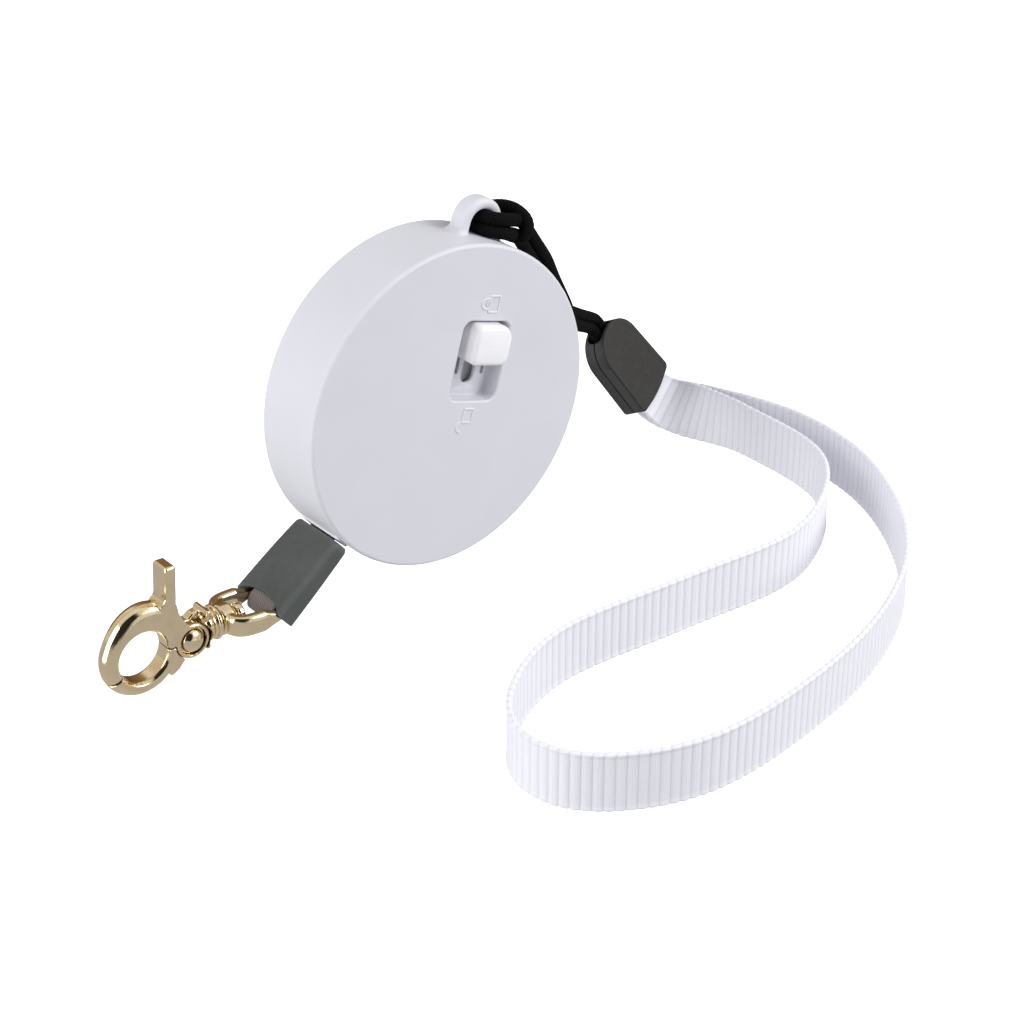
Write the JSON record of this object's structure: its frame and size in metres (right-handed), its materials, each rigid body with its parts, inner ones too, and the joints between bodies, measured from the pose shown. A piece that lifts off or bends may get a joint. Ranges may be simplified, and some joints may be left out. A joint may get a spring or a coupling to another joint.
{
  "type": "retractable clothesline",
  "caption": "Round pocket reel with a spring-wound woven line, thumb lock, rubber sleeve, swivel trigger hook, and a corded wrist strap.",
  "frame": {"origin": "centre of the flat rear face, on the spool's axis", "axes": "-Y out of the front face with the thumb slider, +Z along the slider's travel towards the eyelet side, +X to the right seen from the front"},
  "size_m": [0.153, 0.1171, 0.098],
  "materials": {
    "white_plastic": "fine matte moulded plastic, cool white",
    "slider_plastic": "glossy white",
    "inner_plastic": "natural moulded acetal",
    "dark_rubber": "matte dark grey",
    "black_plastic": "matte black",
    "black_cord": "braided black cord",
    "woven_line": "grey-brown woven tape",
    "white_webbing": "ribbed white webbing",
    "gold_metal": "polished pale gold plating",
    "steel": "plain"
  },
  "bodies": {
    "case": {"front_housing": "white_plastic", "rear_cover": "white_plastic", "cover_screw_1": "steel", "cover_screw_2": "steel", "cover_screw_3": "steel", "spool_axle": "steel", "spring_arbor": "steel", "exit_guide": "inner_plastic", "thrust_washer": "inner_plastic", "line_run": "woven_line"},
    "spool": {"spool": "inner_plastic", "line_coil": "woven_line", "power_spring": "steel", "spring_cover": "inner_plastic"},
    "lock": {"lock_slider": "slider_plastic", "lock_pawl": "inner_plastic"},
    "line_end": {"line_sleeve": "dark_rubber", "line_loop": "woven_line"},
    "eye": {"swivel_eye": "gold_metal"},
    "hook": {"hook_body": "gold_metal", "trigger_rivet": "gold_metal", "trigger_spring": "steel"},
    "trigger": {"trigger_jaw": "gold_metal"},
    "lanyard": {"lanyard_cord": "black_cord"},
    "strap": {"strap_clip_cover": "black_plastic", "strap_clip_base": "black_plastic", "wrist_strap": "white_webbing"}
  },
  "joints": [
    {"name": "spool_turn", "type": "hinge", "parent": "case", "child": "spool", "pos_m": [0, -0.008, 0], "axis": [0, -1, 0], "range_deg": [0, 7000], "deforming": ["power_spring"]},
    {"name": "line_pull", "type": "slide", "parent": "case", "child": "line_end", "axis": [-0.5592, 0, -0.829], "range_m": [0, 2.4]},
    {"name": "lock_slide", "type": "slide", "parent": "case", "child": "lock", "axis": [0, 0, -1], "range_m": [0, 0.006]},
    {"name": "hook_tilt", "type": "hinge", "parent": "line_end", "child": "eye", "pos_m": [-0.02818, -0.008, -0.04178], "axis": [0, 1, 0], "range_deg": [-90, 5]},
    {"name": "hook_swivel", "type": "hinge", "parent": "eye", "child": "hook", "pos_m": [-0.02818, -0.008, -0.04178], "axis": [-0.9724, 0, -0.2334], "continuous": true},
    {"name": "trigger_open", "type": "hinge", "parent": "hook", "child": "trigger", "pos_m": [-0.04597, -0.008, -0.04739], "axis": [0, 1, 0], "range_deg": [0, 30], "stiffness_Nm_per_rad": 0.02},
    {"name": "lanyard_swing", "type": "hinge", "parent": "case", "child": "lanyard", "pos_m": [0.00271, -0.008, 0.03525], "axis": [0, -1, 0], "range_deg": [0, 180]},
    {"name": "clip_tilt", "type": "hinge", "parent": "lanyard", "child": "strap", "pos_m": [0.05893, 0.00774, 0.0078], "axis": [-0.287, 0, 0.9579], "range_deg": [-20, 20]}
  ],
  "couplings": [
    {"joint": "spool_turn", "follows": "line_pull", "rad_per_m": 50.9}
  ]
}
